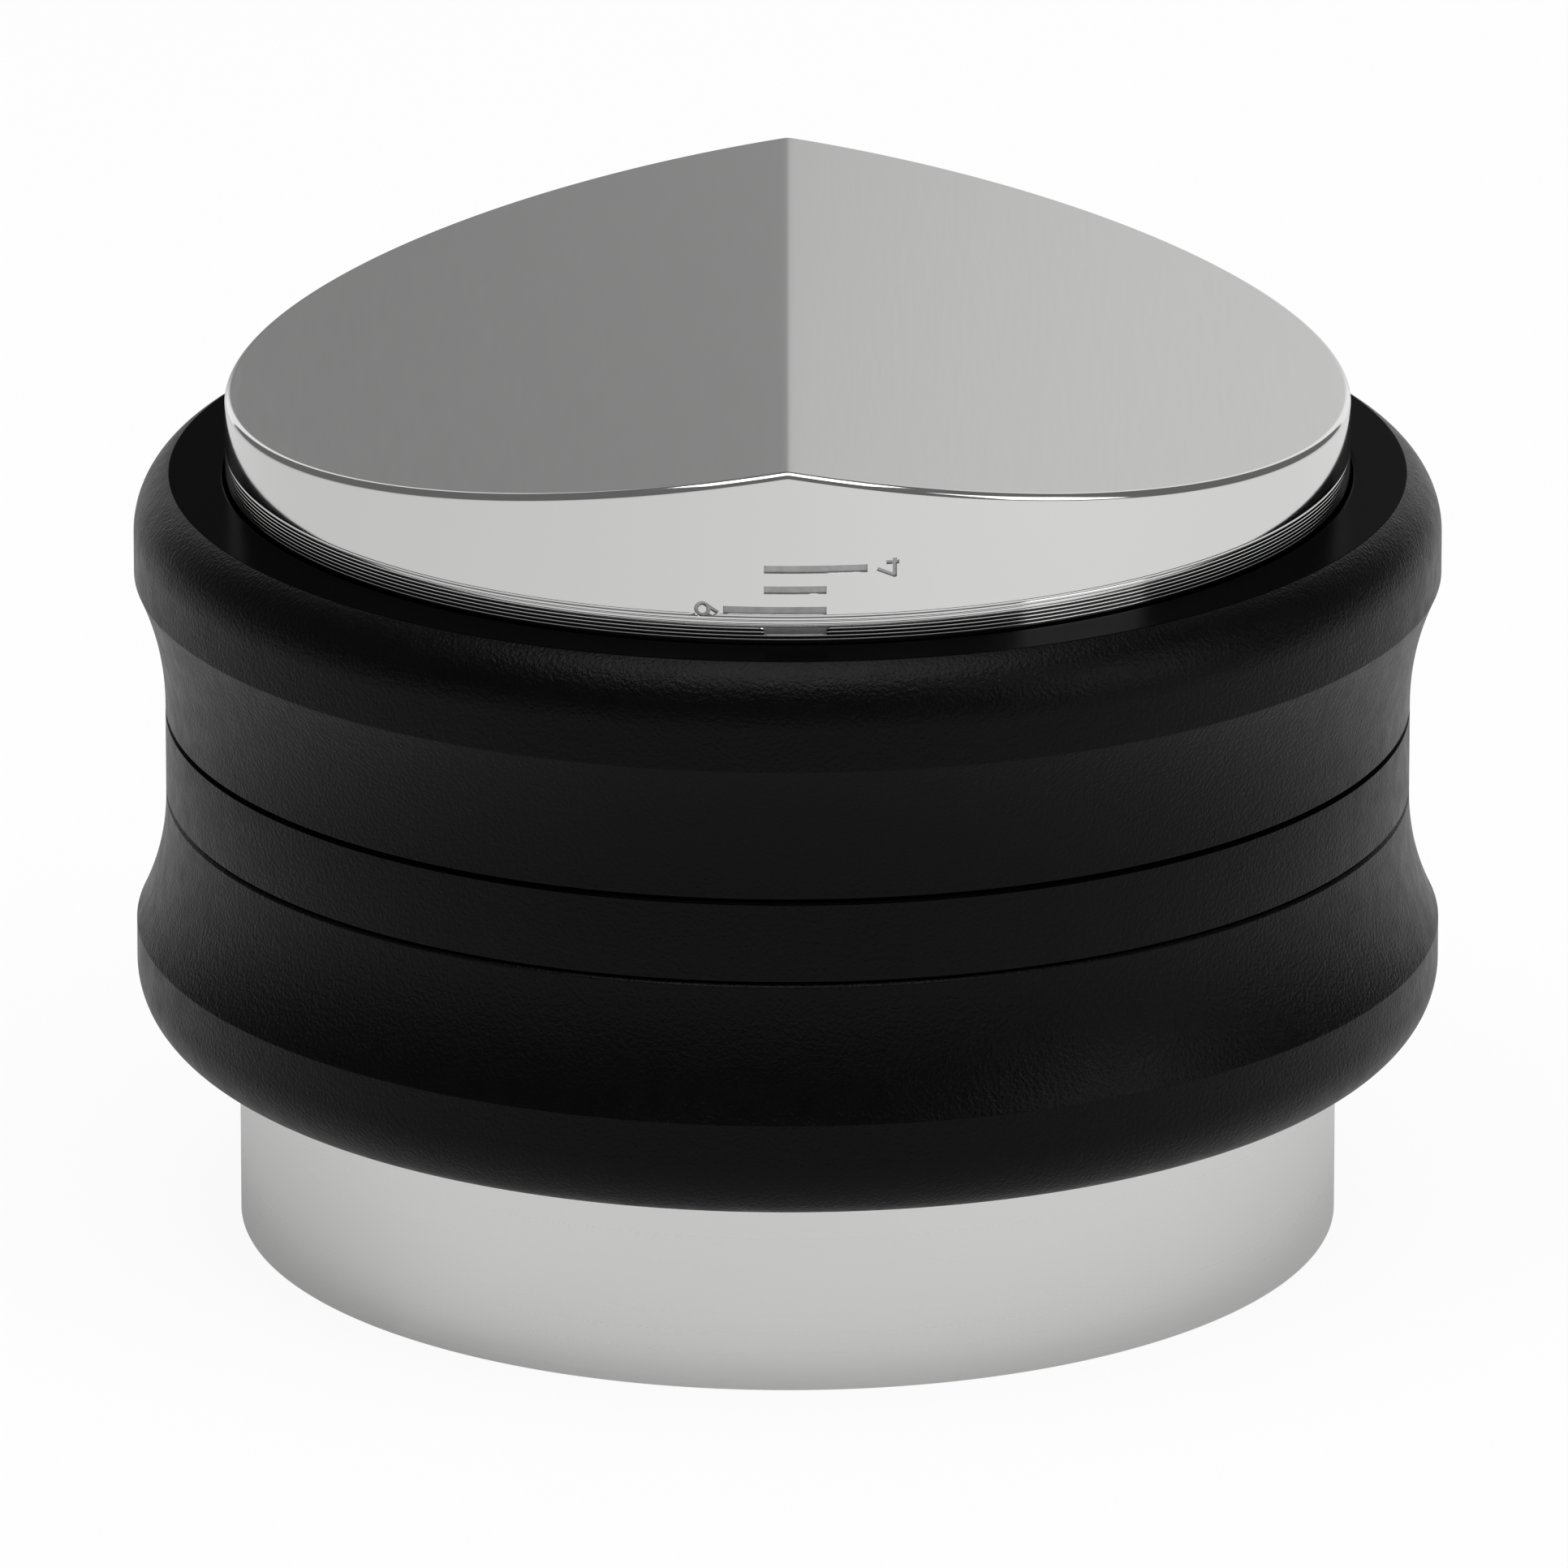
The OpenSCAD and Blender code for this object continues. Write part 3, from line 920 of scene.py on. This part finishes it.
def floor_material(settings):
    """Pale floor: nearly white to the camera, a soft gradient to polished metal, clear from below."""
    material = bpy.data.materials.new("floor")
    material.use_nodes = True
    tree = material.node_tree
    tree.nodes.clear()
    diffuse = tree.nodes.new("ShaderNodeBsdfDiffuse")
    diffuse.inputs["Color"].default_value = (*settings.floor, 1.0)
    seen, _ = white_to(tree, diffuse.outputs[0], settings.floor_white, 1.0)
    mirrored, glow = white_to(tree, diffuse.outputs[0], settings.floor_mirror, 1.0)
    tree.links.new(across(tree, FLOOR_GLOW, FLOOR_REACH), glow.inputs["Color"])
    path = tree.nodes.new("ShaderNodeLightPath")
    glossy = tree.nodes.new("ShaderNodeMixShader")
    tree.links.new(path.outputs["Is Glossy Ray"], glossy.inputs["Fac"])
    tree.links.new(seen, glossy.inputs[1])
    tree.links.new(mirrored, glossy.inputs[2])
    side = tree.nodes.new("ShaderNodeNewGeometry")
    clear = tree.nodes.new("ShaderNodeBsdfTransparent")
    top = tree.nodes.new("ShaderNodeMixShader")
    output = tree.nodes.new("ShaderNodeOutputMaterial")
    tree.links.new(side.outputs["Backfacing"], top.inputs["Fac"])
    tree.links.new(glossy.outputs[0], top.inputs[1])
    tree.links.new(clear.outputs[0], top.inputs[2])
    tree.links.new(top.outputs[0], output.inputs["Surface"])
    return material


def card_material(settings):
    """Glow of the card behind the object, which the gable's faces mirror."""
    material = bpy.data.materials.new("rear_card")
    material.use_nodes = True
    tree = material.node_tree
    tree.nodes.clear()
    glow = tree.nodes.new("ShaderNodeEmission")
    output = tree.nodes.new("ShaderNodeOutputMaterial")
    tree.links.new(across(tree, CARD_GLOW, settings.card_reach), glow.inputs["Color"])
    tree.links.new(glow.outputs[0], output.inputs["Surface"])
    return material


def panel(name, half_x, low, high, y, material):
    """A flat sheet of the stage: upright at depth y, or the floor where y is None."""
    if y is None:
        corners = [(-half_x, low, 0), (half_x, low, 0), (half_x, high, 0), (-half_x, high, 0)]
    else:
        corners = [(-half_x, y, low), (half_x, y, low), (half_x, y, high), (-half_x, y, high)]
    mesh = bpy.data.meshes.new(name)
    mesh.from_pydata(corners, [], [(0, 1, 2, 3)])
    mesh.materials.append(material)
    sheet = bpy.data.objects.new(name, mesh)
    bpy.context.scene.collection.objects.link(sheet)
    return sheet


def softbox(name, power, size, place, aim):
    """An area lamp at place, turned to aim, that the camera doesn't see."""
    lamp = bpy.data.lights.new(name, "AREA")
    lamp.shape = "RECTANGLE"
    lamp.size, lamp.size_y = size
    lamp.energy = power
    holder = bpy.data.objects.new(name, lamp)
    bpy.context.scene.collection.objects.link(holder)
    holder.location = place
    holder.rotation_mode = "QUATERNION"
    holder.rotation_quaternion = (Vector(aim) - Vector(place)).to_track_quat("-Z", "Y")
    holder.visible_camera = False


class COFFEE_OT_stage(bpy.types.Operator):
    """Makes the pale floor, the soft studio light and the camera"""

    bl_idname = "coffee.stage"
    bl_label = "Stage"

    def execute(self, context):
        settings = context.scene.coffee_stage
        panel("floor", 3, -3, 3, None, floor_material(settings))
        card = panel("rear_card", settings.card_reach, 0.002, 0.4, 0.3, card_material(settings))
        card.visible_camera = False
        card.visible_shadow = False
        middle = (0, 0, (UPPER_SEAM + LOWER_SEAM) / 2)
        softbox("top_softbox", settings.top_light, (0.6, 0.5), (0.0, -0.16, 0.70), middle)
        softbox("right_softbox", settings.side_light, (0.4, 0.5), (0.65, -0.35, 0.38), middle)
        self.world(context.scene, settings)
        self.camera(context.scene, settings)
        context.scene.view_settings.view_transform = "Standard"
        return {"FINISHED"}

    def world(self, scene, settings):
        """Pale to the camera, an even grey for light, and a darker one to polished metal."""
        world = bpy.data.worlds.new("studio")
        world.use_nodes = True
        tree = world.node_tree
        tree.nodes.clear()
        path = tree.nodes.new("ShaderNodeLightPath")
        output = tree.nodes.new("ShaderNodeOutputWorld")
        plain = tree.nodes.new("ShaderNodeBackground")
        plain.inputs["Strength"].default_value = settings.fill
        surface = plain.outputs[0]
        for ray, strength in (("Is Glossy Ray", settings.mirror_fill), ("Is Camera Ray", 1.0)):
            backdrop = tree.nodes.new("ShaderNodeBackground")
            backdrop.inputs["Strength"].default_value = strength
            mix = tree.nodes.new("ShaderNodeMixShader")
            tree.links.new(path.outputs[ray], mix.inputs["Fac"])
            tree.links.new(surface, mix.inputs[1])
            tree.links.new(backdrop.outputs[0], mix.inputs[2])
            surface = mix.outputs[0]
        tree.links.new(surface, output.inputs["Surface"])
        scene.world = world

    def camera(self, scene, settings):
        """A long lens at the set elevation."""
        lens = bpy.data.cameras.new("camera")
        lens.lens = settings.lens
        lens.clip_start, lens.clip_end = 0.01, 100
        camera = bpy.data.objects.new("camera", lens)
        scene.collection.objects.link(camera)
        back = Vector((0, -math.cos(settings.elevation), math.sin(settings.elevation)))
        camera.location = Vector((settings.aim_x, 0, settings.aim_z)) + back * settings.distance
        camera.rotation_mode = "QUATERNION"
        camera.rotation_quaternion = (-back).to_track_quat("-Z", "Y")
        scene.camera = camera


class COFFEE_PT_pieces(bpy.types.Panel):
    """Lists the pieces of the espresso tool in the order that they are made"""

    bl_idname = "COFFEE_PT_pieces"
    bl_label = "Espresso tool"
    bl_space_type = "VIEW_3D"
    bl_region_type = "UI"
    bl_category = "Espresso tool"

    def draw(self, context):
        for operator in OPERATORS:
            self.layout.operator(operator.bl_idname)
        for name in SETTINGS:
            box = self.layout.box()
            settings = getattr(context.scene, name)
            for key in settings.bl_rna.properties.keys():
                if key not in ("rna_type", "name"):
                    box.prop(settings, key)


SETTINGS = {
    "coffee_grips": GripSizes,
    "coffee_heads": HeadSizes,
    "coffee_finishes": Finishes,
    "coffee_stage": StageSettings,
}
OPERATORS = (
    COFFEE_OT_stage,
    COFFEE_OT_centre_ring,
    COFFEE_OT_hub,
    COFFEE_OT_grips,
    COFFEE_OT_distributor_head,
    COFFEE_OT_tamper_head,
    COFFEE_OT_drag_rings,
)
CLASSES = (*SETTINGS.values(), *OPERATORS, COFFEE_PT_pieces)


def register():
    for made in CLASSES:
        bpy.utils.register_class(made)
    for name, kind in SETTINGS.items():
        setattr(bpy.types.Scene, name, PointerProperty(type=kind))


def unregister():
    for name in SETTINGS:
        delattr(bpy.types.Scene, name)
    for made in reversed(CLASSES):
        bpy.utils.unregister_class(made)


def main():
    """Makes every piece in order."""
    register()
    bpy.ops.coffee.stage()
    bpy.ops.coffee.centre_ring()
    bpy.ops.coffee.hub()
    bpy.ops.coffee.grips()
    bpy.ops.coffee.distributor_head()
    bpy.ops.coffee.tamper_head()
    bpy.ops.coffee.drag_rings()


if __name__ == "__main__":
    main()
